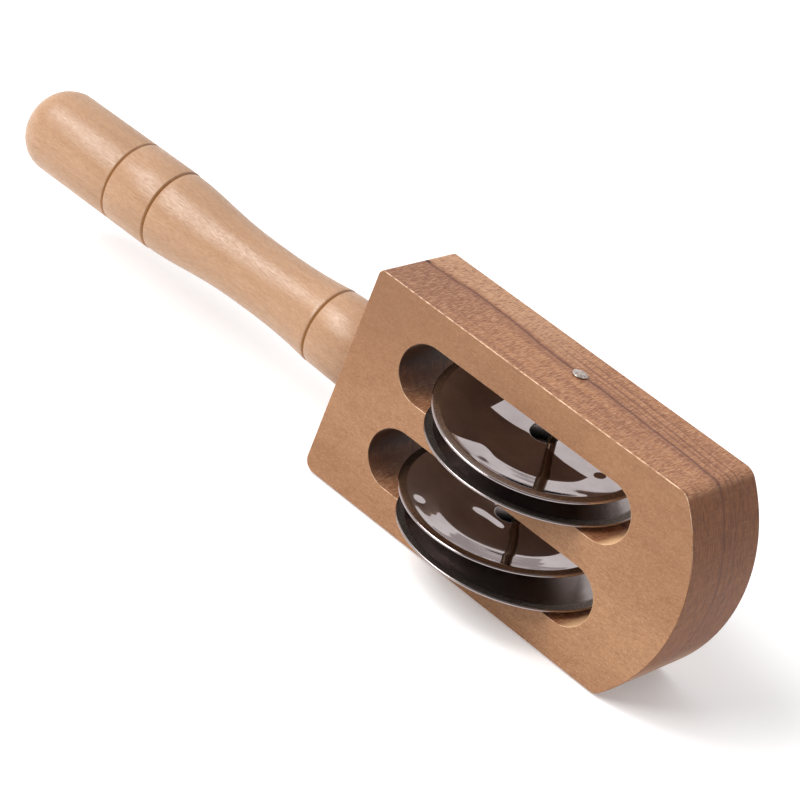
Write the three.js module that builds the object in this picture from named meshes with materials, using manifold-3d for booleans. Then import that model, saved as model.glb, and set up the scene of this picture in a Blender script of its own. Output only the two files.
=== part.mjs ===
// A wooden jingle stick: a turned handle glued into the end of a slotted wooden block.
// One long nail crosses both slots and carries a pair of loose steel jingles in each.
//
// Millimetres. +X runs from the handle to the rounded tip, +Y through the block's thickness and
// +Z up the nail. The origin is on the lower narrow side, which the block rests on, level with
// the nail along the length and halfway through the thickness.

import * as THREE from "three";
import { mergeVertices } from "three/addons/utils/BufferGeometryUtils.js";
import Module from "manifold-3d";

// Block: a board standing on its lower narrow side, with a bowed tip.
const BLOCK_HEIGHT = 55;
const BLOCK_THICKNESS = 26.7;
const BLOCK_STRAIGHT_LENGTH = 92.1;
const TIP_BOW = 10.8; // how far the tip's arc stands out past the straight sides
const TIP_UPPER_CORNER = 4.2;
const TIP_LOWER_CORNER = 3.2;
const HANDLE_END_UPPER_CORNER = 1.5;
const HANDLE_END_LOWER_CORNER = 3;
const EDGE_EASING = 0.3; // sanded edges of the two big faces

// Slots: two through the thickness, with full round ends. Both end at the same distance from the
// block's handle end, and the lower one starts a little later.
const SLOT_HEIGHT = 15.2;
const SLOT_END_FROM_HANDLE = 83.1;
const UPPER_SLOT = { centreHeight: 39.05, fromHandleEnd: 14 };
const LOWER_SLOT = { centreHeight: 16.3, fromHandleEnd: 14.7 };

// Nail: driven in from the upper narrow side.
const NAIL_FROM_HANDLE_END = 49.8;
const NAIL_OFF_CENTRE = 1.1; // towards the back face
const NAIL_LENGTH = 50;
const NAIL_DIAMETER = 2.1;
const NAIL_POINT_LENGTH = 3;
const NAIL_HEAD_DIAMETER = 3.8;
const NAIL_HEAD_HEIGHT = 0.7;
const NAIL_CLEARANCE = 0.15;

// Handle: its sizes along the stick are measured from the block's end face. It is glued in a
// little out of true, so the grip end lies lower and further forward than the block's middle.
const HANDLE_LENGTH = 116.5;
const HANDLE_BELOW_MIDDLE = 0.4;
const HANDLE_DROOP = 0.75; // degrees, downwards
const HANDLE_SWING = 0.55; // degrees, towards the front face
const GRIP_DIAMETER = 21.7;
const WAIST_DIAMETER = 17.4;
const WAIST_FROM_BLOCK = 36.5;
const COLLAR_DIAMETER = 21.2;
const COLLAR_END_DIAMETER = 20;
const SHOULDER_DIAMETER = 21.3;
const GRIP_END_RADIUS = 8.8;
const GROOVES_FROM_BLOCK = { collar: 14.9, shoulder: 69.1, grip: 83.2 };
const COLLAR_FLARE = 2.25; // power of the share of the way from the waist to the collar
const SHOULDER_SWELL = 1.4; // above 1, the waist stays slim for longer before the shoulder
const GROOVE_WIDTH = 1.1;
const GROOVE_DEPTH = 0.6;
const TENON_DIAMETER = 12;
const TENON_LENGTH = 10.4;
const GLUE_GAP = 0.3;

// Jingle: a shallow dish of sheet steel. A low boss stands round its loose centre hole, the
// flank steepens outwards from the dish's lowest ring, and the flat lip is a little thicker.
const JINGLE_DIAMETER = 53.8;
const JINGLE_SHEET = 0.5;
const JINGLE_LIP_THICKNESS = 0.7;
const JINGLE_LIP_WIDTH = 2;
const JINGLE_DEPTH = 3.15; // from the lip to the lowest ring, at mid-sheet
const JINGLE_LOWEST_RING_DIAMETER = 18;
const JINGLE_HOLE_DIAMETER = 7;
const JINGLE_BOSS_HEIGHT = 0.55; // of the hole's edge above the lowest ring
const JINGLE_FLANK_BEND = 1.75; // 1 would be a straight flank
const JINGLE_BOSS_STEPS = 2;
const JINGLE_FLANK_STEPS = 5;

const ROUND_SEGMENTS = 40;
const ARC_STEPS = 6;

// Where each jingle lies at rest: its lip's centre, and how far its front (-Y) edge dips and its
// tip-side (+X) edge lifts. The top jingle of each pair is dished upwards, the bottom one
// downwards, so the two stand back to back.
const JINGLES = [
  { name: "upper_slot_top_jingle", centre: [-1.5, -0.8, 40.95], dip: 9.9, lift: -1.2, dished: "up" },
  { name: "upper_slot_bottom_jingle", centre: [-0.7, -0.8, 32.6], dip: 1.4, lift: 1.1, dished: "down" },
  { name: "lower_slot_top_jingle", centre: [-1.8, -0.2, 18.2], dip: 6.2, lift: 2.8, dished: "up" },
  { name: "lower_slot_bottom_jingle", centre: [1, -0.8, 9.85], dip: 0.2, lift: 1.6, dished: "down" },
];

const HANDLE_END_X = -NAIL_FROM_HANDLE_END;
const TIP_EDGE_X = HANDLE_END_X + BLOCK_STRAIGHT_LENGTH;
const MID_HEIGHT = BLOCK_HEIGHT / 2;

const wood = new THREE.MeshStandardMaterial({ color: 0xb98a64, roughness: 0.55, metalness: 0 });
const turnedWood = new THREE.MeshStandardMaterial({ color: 0xd6b28a, roughness: 0.4, metalness: 0 });
const jingleSteel = new THREE.MeshStandardMaterial({ color: 0x8d8688, roughness: 0.15, metalness: 1 });
const nailSteel = new THREE.MeshStandardMaterial({ color: 0x9a9a96, roughness: 0.4, metalness: 1 });

const wasm = await Module();
wasm.setup();

function toSolid(geometry) {
  const bare = new THREE.BufferGeometry();
  bare.setAttribute("position", geometry.getAttribute("position").clone());
  if (geometry.index) bare.setIndex(geometry.index.clone());
  const merged = mergeVertices(bare, 1e-4);
  return new wasm.Manifold(
    new wasm.Mesh({
      numProp: 3,
      vertProperties: merged.getAttribute("position").array,
      triVerts: new Uint32Array(merged.index.array),
    }),
  );
}

function toGeometry(solid) {
  const mesh = solid.getMesh();
  const geometry = new THREE.BufferGeometry();
  geometry.setAttribute("position", new THREE.BufferAttribute(mesh.vertProperties, 3));
  geometry.setIndex(new THREE.BufferAttribute(mesh.triVerts, 1));
  geometry.computeVertexNormals();
  return geometry;
}

function namedMesh(name, geometry, material) {
  const mesh = new THREE.Mesh(geometry, material);
  mesh.name = name;
  return mesh;
}

// The centre of a corner arc that touches a straight side of the block and the tip's big arc.
// side is +1 for the upper corner and -1 for the lower one.
function tipCornerCentre(tip, radius, side) {
  const rise = MID_HEIGHT - radius;
  const run = Math.sqrt((tip.radius - radius) ** 2 - rise ** 2);
  return new THREE.Vector2(tip.x + run, MID_HEIGHT + side * rise);
}

// The outline of the big faces: length along x, height along y.
function blockOutline() {
  const tipRadius = (MID_HEIGHT ** 2 + TIP_BOW ** 2) / (2 * TIP_BOW);
  const tip = { radius: tipRadius, x: TIP_EDGE_X + TIP_BOW - tipRadius };
  const lower = tipCornerCentre(tip, TIP_LOWER_CORNER, -1);
  const upper = tipCornerCentre(tip, TIP_UPPER_CORNER, 1);
  const lowerTurn = Math.atan2(lower.y - MID_HEIGHT, lower.x - tip.x);
  const upperTurn = Math.atan2(upper.y - MID_HEIGHT, upper.x - tip.x);
  const below = HANDLE_END_LOWER_CORNER;
  const above = HANDLE_END_UPPER_CORNER;

  const outline = new THREE.Shape();
  outline.moveTo(HANDLE_END_X + below, 0);
  outline.absarc(lower.x, lower.y, TIP_LOWER_CORNER, -Math.PI / 2, lowerTurn, false);
  outline.absarc(tip.x, MID_HEIGHT, tip.radius, lowerTurn, upperTurn, false);
  outline.absarc(upper.x, upper.y, TIP_UPPER_CORNER, upperTurn, Math.PI / 2, false);
  outline.absarc(HANDLE_END_X + above, BLOCK_HEIGHT - above, above, Math.PI / 2, Math.PI, false);
  outline.absarc(HANDLE_END_X + below, below, below, Math.PI, 1.5 * Math.PI, false);
  return outline;
}

function blockBoard() {
  const board = new THREE.ExtrudeGeometry(blockOutline(), {
    depth: BLOCK_THICKNESS - 2 * EDGE_EASING,
    curveSegments: ARC_STEPS,
    bevelEnabled: true,
    bevelThickness: EDGE_EASING,
    bevelSize: EDGE_EASING,
    bevelOffset: -EDGE_EASING,
    bevelSegments: 1,
  });
  board.translate(0, 0, EDGE_EASING - BLOCK_THICKNESS / 2);
  board.rotateX(Math.PI / 2);
  return board;
}

// The space that a slot takes out of the board, a little longer than the board is thick.
function slotSpace({ centreHeight, fromHandleEnd }) {
  const radius = SLOT_HEIGHT / 2;
  const start = HANDLE_END_X + fromHandleEnd + radius;
  const end = HANDLE_END_X + SLOT_END_FROM_HANDLE - radius;
  const outline = new THREE.Shape();
  outline.absarc(end, centreHeight, radius, -Math.PI / 2, Math.PI / 2, false);
  outline.absarc(start, centreHeight, radius, Math.PI / 2, 1.5 * Math.PI, false);
  const depth = BLOCK_THICKNESS + 2;
  const space = new THREE.ExtrudeGeometry(outline, { depth, curveSegments: 8, bevelEnabled: false });
  space.translate(0, 0, -depth / 2);
  space.rotateX(Math.PI / 2);
  return space;
}

// Where the handle's axis meets the block, and which way it points: local +Y runs to the grip end.
function handlePlacement() {
  const point = new THREE.Vector3(HANDLE_END_X, 0, MID_HEIGHT - HANDLE_BELOW_MIDDLE);
  const droop = THREE.MathUtils.degToRad(HANDLE_DROOP);
  const swing = THREE.MathUtils.degToRad(HANDLE_SWING);
  const way = new THREE.Vector3(-1, -Math.tan(swing), -Math.tan(droop)).normalize();
  const turn = new THREE.Quaternion().setFromUnitVectors(new THREE.Vector3(0, 1, 0), way);
  return new THREE.Matrix4().compose(point, turn, new THREE.Vector3(1, 1, 1));
}

// The socket for the handle's tenon, a glue gap wider and deeper than the tenon.
function socketSpace() {
  const radius = TENON_DIAMETER / 2 + GLUE_GAP;
  const depth = TENON_LENGTH + GLUE_GAP;
  const space = new THREE.CylinderGeometry(radius, radius, depth + 1, ROUND_SEGMENTS);
  space.translate(0, (1 - depth) / 2, 0);
  space.applyMatrix4(handlePlacement());
  return space;
}

function barAlongZ(radius, fromZ, toZ) {
  const bar = new THREE.CylinderGeometry(radius, radius, toZ - fromZ, ROUND_SEGMENTS / 2);
  bar.rotateX(Math.PI / 2);
  bar.translate(0, NAIL_OFF_CENTRE, (fromZ + toZ) / 2);
  return bar;
}

function makeBlock() {
  const boreEnd = BLOCK_HEIGHT - NAIL_LENGTH - NAIL_CLEARANCE;
  const bore = barAlongZ(NAIL_DIAMETER / 2 + NAIL_CLEARANCE, boreEnd, BLOCK_HEIGHT + 1);
  const spaces = [slotSpace(UPPER_SLOT), slotSpace(LOWER_SLOT), socketSpace(), bore];
  const solid = spaces.reduce((rest, space) => rest.subtract(toSolid(space)), toSolid(blockBoard()));
  return namedMesh("block", toGeometry(solid), wood);
}

// Points of a V groove that ends a stretch of one radius and starts a stretch of another.
function groove(position, radiusBefore, radiusAfter) {
  const floor = Math.min(radiusBefore, radiusAfter) - GROOVE_DEPTH;
  return [
    new THREE.Vector2(radiusBefore, position - GROOVE_WIDTH / 2),
    new THREE.Vector2(floor, position),
    new THREE.Vector2(radiusAfter, position + GROOVE_WIDTH / 2),
  ];
}

// A stretch from the waist to a wider end, its radius rising as the function rise says.
function stretchFromWaist(endPosition, endRadius, rise, steps) {
  const points = [];
  for (let i = 1; i < steps; i++) {
    const share = i / steps;
    const radius = THREE.MathUtils.lerp(WAIST_DIAMETER / 2, endRadius, rise(share));
    const position = THREE.MathUtils.lerp(WAIST_FROM_BLOCK, endPosition, share);
    points.push(new THREE.Vector2(radius, position));
  }
  return points;
}

function gripEnd() {
  const centreRadius = GRIP_DIAMETER / 2 - GRIP_END_RADIUS;
  const arc = [];
  for (let i = 0; i <= ARC_STEPS; i++) {
    const turn = (i / ARC_STEPS) * (Math.PI / 2);
    const radius = centreRadius + GRIP_END_RADIUS * Math.cos(turn);
    arc.push(new THREE.Vector2(radius, HANDLE_LENGTH - GRIP_END_RADIUS * (1 - Math.sin(turn))));
  }
  return arc;
}

function makeHandle() {
  const { collar, shoulder, grip } = GROOVES_FROM_BLOCK;
  const [gripRadius, waistRadius] = [GRIP_DIAMETER / 2, WAIST_DIAMETER / 2];
  const [collarRadius, shoulderRadius] = [COLLAR_END_DIAMETER / 2, SHOULDER_DIAMETER / 2];
  const flare = (share) => share ** COLLAR_FLARE;
  const swell = (share) => (1 - Math.cos(Math.PI * share ** SHOULDER_SWELL)) / 2;
  const profile = [
    new THREE.Vector2(0, -TENON_LENGTH),
    new THREE.Vector2(TENON_DIAMETER / 2 - 1, -TENON_LENGTH),
    new THREE.Vector2(TENON_DIAMETER / 2, 1 - TENON_LENGTH),
    new THREE.Vector2(TENON_DIAMETER / 2, GLUE_GAP),
    new THREE.Vector2(COLLAR_DIAMETER / 2, GLUE_GAP),
    ...groove(collar, collarRadius, collarRadius),
    ...stretchFromWaist(collar + GROOVE_WIDTH / 2, collarRadius, flare, 6).reverse(),
    new THREE.Vector2(waistRadius, WAIST_FROM_BLOCK),
    ...stretchFromWaist(shoulder - GROOVE_WIDTH / 2, shoulderRadius, swell, 8),
    ...groove(shoulder, shoulderRadius, gripRadius),
    ...groove(grip, gripRadius, gripRadius),
    ...gripEnd(),
    new THREE.Vector2(0, HANDLE_LENGTH),
  ];
  const handle = namedMesh("handle", new THREE.LatheGeometry(profile, ROUND_SEGMENTS), turnedWood);
  handle.applyMatrix4(handlePlacement());
  return handle;
}

function makeNail() {
  const radius = NAIL_DIAMETER / 2;
  const headRadius = NAIL_HEAD_DIAMETER / 2;
  const headFoot = 0.05; // the head just clears the wood
  const profile = [
    new THREE.Vector2(0, -NAIL_LENGTH),
    new THREE.Vector2(radius, NAIL_POINT_LENGTH - NAIL_LENGTH),
    new THREE.Vector2(radius, headFoot),
    new THREE.Vector2(headRadius, headFoot),
    new THREE.Vector2(headRadius, 0.7 * NAIL_HEAD_HEIGHT),
    new THREE.Vector2(0.85 * headRadius, NAIL_HEAD_HEIGHT),
    new THREE.Vector2(0, NAIL_HEAD_HEIGHT),
  ];
  const nail = namedMesh("nail", new THREE.LatheGeometry(profile, ROUND_SEGMENTS / 2), nailSteel);
  nail.rotation.x = Math.PI / 2;
  nail.position.set(0, NAIL_OFF_CENTRE, BLOCK_HEIGHT);
  return nail;
}

// Half of a jingle's section at mid-sheet, from the hole to the lip, for a dish open upwards.
function jingleMidSheet() {
  const hole = JINGLE_HOLE_DIAMETER / 2;
  const lowest = JINGLE_LOWEST_RING_DIAMETER / 2;
  const lipStart = JINGLE_DIAMETER / 2 - JINGLE_LIP_WIDTH;
  const points = [];
  for (let i = 0; i < JINGLE_BOSS_STEPS; i++) {
    const share = i / JINGLE_BOSS_STEPS;
    const height = JINGLE_BOSS_HEIGHT * (1 - share) ** 2 - JINGLE_DEPTH;
    points.push(new THREE.Vector2(THREE.MathUtils.lerp(hole, lowest, share), height));
  }
  for (let i = 0; i <= JINGLE_FLANK_STEPS; i++) {
    const share = i / JINGLE_FLANK_STEPS;
    const height = JINGLE_DEPTH * (share ** JINGLE_FLANK_BEND - 1);
    points.push(new THREE.Vector2(THREE.MathUtils.lerp(lowest, lipStart, share), height));
  }
  points.push(new THREE.Vector2(JINGLE_DIAMETER / 2, 0));
  return points;
}

function jingleGeometry() {
  const midSheet = jingleMidSheet();
  const onLip = (p) => p.x > JINGLE_DIAMETER / 2 - JINGLE_LIP_WIDTH - 0.01;
  const half = (p) => (onLip(p) ? JINGLE_LIP_THICKNESS : JINGLE_SHEET) / 2;
  const under = midSheet.map((p) => new THREE.Vector2(p.x, p.y - half(p)));
  const over = midSheet.map((p) => new THREE.Vector2(p.x, p.y + half(p)));
  const section = [...under, ...over.reverse(), under[0].clone()];
  const geometry = new THREE.LatheGeometry(section, ROUND_SEGMENTS);
  geometry.rotateX(Math.PI / 2);
  return geometry;
}

function makeJingle({ name, centre, dip, lift, dished }) {
  const dish = namedMesh(name, jingleGeometry(), jingleSteel);
  dish.rotation.x = dished === "down" ? Math.PI : 0;
  const tilt = new THREE.Group();
  tilt.position.set(...centre);
  tilt.rotation.set(THREE.MathUtils.degToRad(dip), THREE.MathUtils.degToRad(-lift), 0);
  tilt.add(dish);
  return tilt;
}

const jingleStick = new THREE.Group();
jingleStick.add(makeBlock(), makeHandle(), makeNail(), ...JINGLES.map(makeJingle));

export default jingleStick;
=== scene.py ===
"""The looks of a wooden jingle stick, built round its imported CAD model.

Every piece is placed in the row frame, in metres: +X from the handle to the bowed tip, +Y from
the front big face to the back one, +Z up the nail. Sizes below are in millimetres, as they are in
the part's own source, and are turned into metres where a mesh is made.
"""

import math

import bmesh
import bpy
import numpy as np
from mathutils import Matrix, Vector, noise
from mathutils.geometry import tessellate_polygon


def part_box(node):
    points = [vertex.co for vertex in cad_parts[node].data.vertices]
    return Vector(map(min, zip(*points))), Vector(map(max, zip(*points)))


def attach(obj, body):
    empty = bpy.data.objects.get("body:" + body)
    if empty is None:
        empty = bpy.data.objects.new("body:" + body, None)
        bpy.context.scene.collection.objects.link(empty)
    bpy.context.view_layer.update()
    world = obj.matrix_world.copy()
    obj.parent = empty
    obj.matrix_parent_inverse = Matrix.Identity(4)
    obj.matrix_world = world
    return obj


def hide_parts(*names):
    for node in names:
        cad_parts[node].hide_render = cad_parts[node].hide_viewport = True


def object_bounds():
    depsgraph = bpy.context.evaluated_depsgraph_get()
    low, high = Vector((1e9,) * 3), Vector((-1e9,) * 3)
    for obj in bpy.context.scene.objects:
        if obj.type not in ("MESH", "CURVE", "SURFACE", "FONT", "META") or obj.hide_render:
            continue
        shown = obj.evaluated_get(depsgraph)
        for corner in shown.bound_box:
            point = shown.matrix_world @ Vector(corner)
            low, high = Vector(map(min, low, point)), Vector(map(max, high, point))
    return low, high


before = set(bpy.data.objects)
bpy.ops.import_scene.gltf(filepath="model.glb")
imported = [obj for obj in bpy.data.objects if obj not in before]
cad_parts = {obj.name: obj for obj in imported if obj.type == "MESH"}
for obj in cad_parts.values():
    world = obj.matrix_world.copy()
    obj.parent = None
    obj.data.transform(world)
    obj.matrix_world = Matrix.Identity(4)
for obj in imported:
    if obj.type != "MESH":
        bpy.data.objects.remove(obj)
CAD_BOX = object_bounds()
MM = 0.001  # metres

# Block, its narrow sides level and its handle end at low X
BLOCK_LOW, BLOCK_HIGH = (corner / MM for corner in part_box("block"))
HANDLE_END_X = BLOCK_LOW.x
BLOCK_HEIGHT = BLOCK_HIGH.z
HALF_THICKNESS = BLOCK_HIGH.y
MID_HEIGHT = BLOCK_HEIGHT / 2
TIP_BOW = 10.8
TIP_UPPER_CORNER = 4.2
TIP_LOWER_CORNER = 3.2
HANDLE_END_UPPER_CORNER = 1.5
HANDLE_END_LOWER_CORNER = 3
EDGE_EASING = 0.24
SLOT_EASING = 0.18
EASING_STEPS = 4
SLOT_RADIUS = 7.6
SLOT_END_FROM_HANDLE = 83.1
SLOTS = {"upper": (39.05, 14), "lower": (16.3, 14.7)}  # centre height, start from the handle's end
KNOT_HOLE = {"centre": (-49.2, 2.4, 55.2), "size": (1.5, 0.55, 0.9)}
BLOCK_SMOOTH_ANGLE = 40
FLAT_FACE_WEIGHT = 100

# Handle, measured from the block's end face
HANDLE_LENGTH = 116.5
HANDLE_BELOW_MIDDLE = 0.4
HANDLE_DROOP = 0.75
HANDLE_SWING = 0.55
GRIP_RADIUS = 10.85
WAIST_RADIUS = 8.7
WAIST_FROM_BLOCK = 36.5
COLLAR_RADIUS = 10.6
COLLAR_END_RADIUS = 10
SHOULDER_RADIUS = 10.65
GRIP_END_RADIUS = 8.8
GROOVES_FROM_BLOCK = {"collar": 14.9, "shoulder": 69.1, "grip": 83.2}
COLLAR_FLARE = 2.25
SHOULDER_SWELL = 1.4
GROOVE_HALF_WIDTH = 0.36
GROOVE_DEPTH = 0.6
GROOVE_LIP = [(1.5, 0), (1.15, 0.04), (0.85, 0.16)]  # half widths from the middle, and depth
GROOVE_FLOOR = (0.2, 0.06)  # half widths from the middle, and height above the deepest line
COLLAR_CHAMFER = 0.15
TENON_CHAMFER = 1
HANDLE_SEGMENTS = 144
HANDLE_SMOOTH_ANGLE = 50
TENON_RADIUS = 6
TENON_LENGTH = 10.4
GLUE_GAP = 0.3

# Nail
NAIL_OFF_CENTRE = 1.1
NAIL_LENGTH = 50
NAIL_RADIUS = 1.05
NAIL_POINT_LENGTH = 3
NAIL_HEAD_RADIUS = 1.9
NAIL_HEAD_HEIGHT = 0.7
NAIL_HEAD_UNDERSIDE = 0.05
NAIL_HEAD_ROUNDING = 0.2
NAIL_HEAD_CROWN = [(0.75, 0.84), (0.5, 0.92), (0.22, 0.95), (0, 0.96)]  # shares of radius, height
NAIL_CLEARANCE = 0.15
NAIL_SEGMENTS = 48
NAIL_SMOOTH_ANGLE = 40

# Jingle
JINGLE_RADIUS = 26.9
JINGLE_HALF_SHEET = 0.25
JINGLE_HALF_LIP = 0.35
JINGLE_LIP_START = 24.9
JINGLE_DEPTH = 3.15
JINGLE_LOWEST_RADIUS = 9
JINGLE_HOLE_RADIUS = 3.5
JINGLE_BOSS_HEIGHT = 0.55
JINGLE_FLANK_BEND = 1.75
JINGLE_THICKENS_AT = 22.9
JINGLE_THICKENS_OVER = 2.2
JINGLE_SECTION_STEPS = 46
JINGLE_SEGMENTS = 160
JINGLE_SMOOTH_ANGLE = 60
CAD_POINT_NEAR = 0.3  # how close to the rim's or the hole's radius a CAD point counts as on it

# How far the pressed sheet's normal leans outwards, along the way from the hole to the lip
PRESSED_LEAN = [
    (0, -0.02),
    (0.12, 0.05),
    (0.26, 0.03),
    (0.4, -0.03),
    (0.61, 0.0),
    (0.67, 0.092),
    (0.77, 0.057),
    (0.865, 0.022),
    (1, -0.025),
]
JINGLE_BODIES = {
    "upper_slot_top_jingle": "upper_pair_top",
    "upper_slot_bottom_jingle": "upper_pair_bottom",
    "lower_slot_top_jingle": "lower_pair_top",
    "lower_slot_bottom_jingle": "lower_pair_bottom",
}

# Knocks in the top jingles: middle in the jingle's own X and Y, reach and height
KNOCKS = {
    "upper_slot_top_jingle": [(-8.5, 1.5, 5.5, 0.12), (17.3, -0.6, 3, 0.1)],
    "lower_slot_top_jingle": [(-3, -6.5, 4, 0.1), (-13.6, -17.6, 3.5, 0.08)],
}

# Sheet waves of a jingle: height, length, and where in the noise each jingle's waves start
SHEET_WAVES = [(0.045, 11, 5.3, 1.7), (0.012, 4, 2.9, 8.1)]

# Camera and studio, in metres
CAMERA_AT = (0.2927, -0.5633, 0.3632)
CAMERA_LOOKS_AT = (-0.0400, 0.0, 0.0222)
CAMERA_ROLL = math.radians(-22.05)
CAMERA_LENS = 142.6  # on a sensor CAMERA_SENSOR wide, both in millimetres
CAMERA_SENSOR = 36
FLOOR_HALF_WIDTH = 4.0
FLOOR_GAP = 0.0004
FLOOR_GLOW = 0.22
WORLD_COLOUR = (1, 0.98, 0.985, 1)
WORLD_BRIGHT_WAY = (-0.5, 0.85, 0.1)
WORLD_TURNS_BRIGHT = (-0.3, 0.35)  # along the bright way
WORLD_STRENGTHS = (0.2, 1.0)  # away from the bright way, and along it
LIGHTS = {"key": ((-0.75, -0.6, 1.05), 12.0), "fill": ((-0.5, -1.1, 0.8), 10.5)}  # place, power
LIGHT_SIZE = 0.6
LIGHTS_AIM = (-0.02, 0, 0.03)

# Names of the shader's sockets
SOCKETS = {
    "colour": "Base Color",
    "roughness": "Roughness",
    "normal": "Normal",
    "metallic": "Metallic",
    "coat": "Coat Weight",
    "coat_roughness": "Coat Roughness",
    "specular": "Specular IOR Level",
}
CURVE_REACH = 10.0  # a curve's results lie between minus and plus this


# --- Meshes -----------------------------------------------------------------------------------


def new_object(name, points, faces, smooth_angle=None):
    """A mesh object from points in millimetres. Faces meeting under smooth_angle shade as one."""
    mesh = bpy.data.meshes.new(name)
    mesh.from_pydata([Vector(p) * MM for p in points], [], faces)
    mesh.validate()
    bm = bmesh.new()
    bm.from_mesh(mesh)
    bmesh.ops.recalc_face_normals(bm, faces=bm.faces)
    bm.to_mesh(mesh)
    bm.free()
    if smooth_angle is not None:
        mesh.shade_smooth()
        mesh.set_sharp_from_angle(angle=math.radians(smooth_angle))
    piece = bpy.data.objects.new(name, mesh)
    bpy.context.scene.collection.objects.link(piece)
    return piece


def lathe(name, profile, segments, place, smooth_angle=None, shift=None):
    """Turns (radius, height) points round local Z, then moves the result by the matrix place.

    A point on the axis becomes one vertex. A profile whose ends are off the axis closes on
    itself. shift(point) may nudge each turned point before it is placed.
    """
    closed = profile[0][0] > 0 and profile[-1][0] > 0
    points, rings = [], []
    for radius, height in profile:
        if radius == 0:
            rings.append([len(points)])
            points.append(Vector((0, 0, height)))
            continue
        rings.append(list(range(len(points), len(points) + segments)))
        for i in range(segments):
            turn = 2 * math.pi * i / segments
            points.append(Vector((radius * math.cos(turn), radius * math.sin(turn), height)))
    faces = []
    pairs = list(zip(rings, rings[1:]))
    if closed:
        pairs.append((rings[-1], rings[0]))
    for a, b in pairs:
        for i in range(segments):
            j = (i + 1) % segments
            corners = [a[i % len(a)], a[j % len(a)], b[j % len(b)], b[i % len(b)]]
            faces.append(list(dict.fromkeys(corners)))
    if shift:
        points = [shift(p) for p in points]
    return new_object(name, [place @ p for p in points], faces, smooth_angle)


def arc(centre, radius, start, end, steps):
    """Points of an arc, angles in degrees, both ends included."""
    points = []
    for i in range(steps + 1):
        turn = math.radians(start + (end - start) * i / steps)
        x = centre[0] + radius * math.cos(turn)
        y = centre[1] + radius * math.sin(turn)
        points.append(Vector((x, y)))
    return points


def ease(x):
    """A smooth rise from 0 to 1."""
    x = min(max(x, 0.0), 1.0)
    return x * x * (3 - 2 * x)


def cut(piece, *cutters):
    """Takes the cutters' shapes out of the piece and removes the cutters."""
    for cutter in cutters:
        step = piece.modifiers.new("cut", "BOOLEAN")
        step.operation = "DIFFERENCE"
        step.solver = "EXACT"
        step.object = cutter
    graph = bpy.context.evaluated_depsgraph_get()
    mesh = bpy.data.meshes.new_from_object(piece.evaluated_get(graph))
    piece.modifiers.clear()
    old = piece.data
    piece.data = mesh
    bpy.data.meshes.remove(old)
    for cutter in cutters:
        bpy.data.objects.remove(cutter)


# --- Block ------------------------------------------------------------------------------------


def tip_corner_centre(tip_x, tip_radius, radius, side):
    """Centre of a corner arc that touches a straight side and the tip's big arc."""
    rise = MID_HEIGHT - radius
    run = math.sqrt((tip_radius - radius) ** 2 - rise**2)
    return (tip_x + run, MID_HEIGHT + side * rise)


def block_outline(inset):
    """The big faces' outline, moved inwards by inset."""
    tip_radius = (MID_HEIGHT**2 + TIP_BOW**2) / (2 * TIP_BOW)
    tip_x = BLOCK_HIGH.x - tip_radius
    lower = tip_corner_centre(tip_x, tip_radius, TIP_LOWER_CORNER, -1)
    upper = tip_corner_centre(tip_x, tip_radius, TIP_UPPER_CORNER, 1)
    lower_turn = math.degrees(math.atan2(lower[1] - MID_HEIGHT, lower[0] - tip_x))
    upper_turn = math.degrees(math.atan2(upper[1] - MID_HEIGHT, upper[0] - tip_x))
    above = (HANDLE_END_X + HANDLE_END_UPPER_CORNER, BLOCK_HEIGHT - HANDLE_END_UPPER_CORNER)
    below = (HANDLE_END_X + HANDLE_END_LOWER_CORNER, HANDLE_END_LOWER_CORNER)
    return [
        *arc(lower, TIP_LOWER_CORNER - inset, -90, lower_turn, 10),
        *arc((tip_x, MID_HEIGHT), tip_radius - inset, lower_turn, upper_turn, 40)[1:-1],
        *arc(upper, TIP_UPPER_CORNER - inset, upper_turn, 90, 12),
        *arc(above, HANDLE_END_UPPER_CORNER - inset, 90, 180, 8),
        *arc(below, HANDLE_END_LOWER_CORNER - inset, 180, 270, 10),
    ]


def slot_outline(slot, outset):
    """A slot's outline in the big faces, moved outwards by outset."""
    height, start = SLOTS[slot]
    from_x = HANDLE_END_X + start + SLOT_RADIUS
    to_x = HANDLE_END_X + SLOT_END_FROM_HANDLE - SLOT_RADIUS
    radius = SLOT_RADIUS + outset
    return [*arc((to_x, height), radius, -90, 90, 28), *arc((from_x, height), radius, 90, 270, 28)]


def through_levels(easing):
    """(inset, y) from the front face to the back one, with rounded edges of radius easing."""
    front = []
    for i in range(EASING_STEPS + 1):
        turn = math.pi / 2 * i / EASING_STEPS
        inset = easing * (1 - math.sin(turn))
        front.append((inset, -HALF_THICKNESS + easing * (1 - math.cos(turn))))
    back = [(inset, -y) for inset, y in reversed(front)]
    return front + back


def make_board():
    """The board with its two slots, as one closed mesh with rounded edges."""
    outlines = [
        (block_outline, EDGE_EASING),
        (lambda inset: slot_outline("upper", inset), SLOT_EASING),
        (lambda inset: slot_outline("lower", inset), SLOT_EASING),
    ]
    points, faces, caps = [], [], {0: [], -1: []}
    for outline, easing in outlines:
        loops = []
        for inset, y in through_levels(easing):
            loop = [Vector((p.x, y, p.y)) for p in outline(inset)]
            loops.append(list(range(len(points), len(points) + len(loop))))
            points += loop
        for a, b in zip(loops, loops[1:]):
            faces += [[a[i - 1], a[i], b[i], b[i - 1]] for i in range(len(a))]
        for end in caps:
            caps[end].append(loops[end])
    for loops in caps.values():
        order = [i for loop in loops for i in loop]
        flat = [[Vector((points[i].x, points[i].z, 0)) for i in loop] for loop in loops]
        faces += [[order[i] for i in triangle] for triangle in tessellate_polygon(flat)]
    return new_object("block_body", points, faces)


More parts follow.
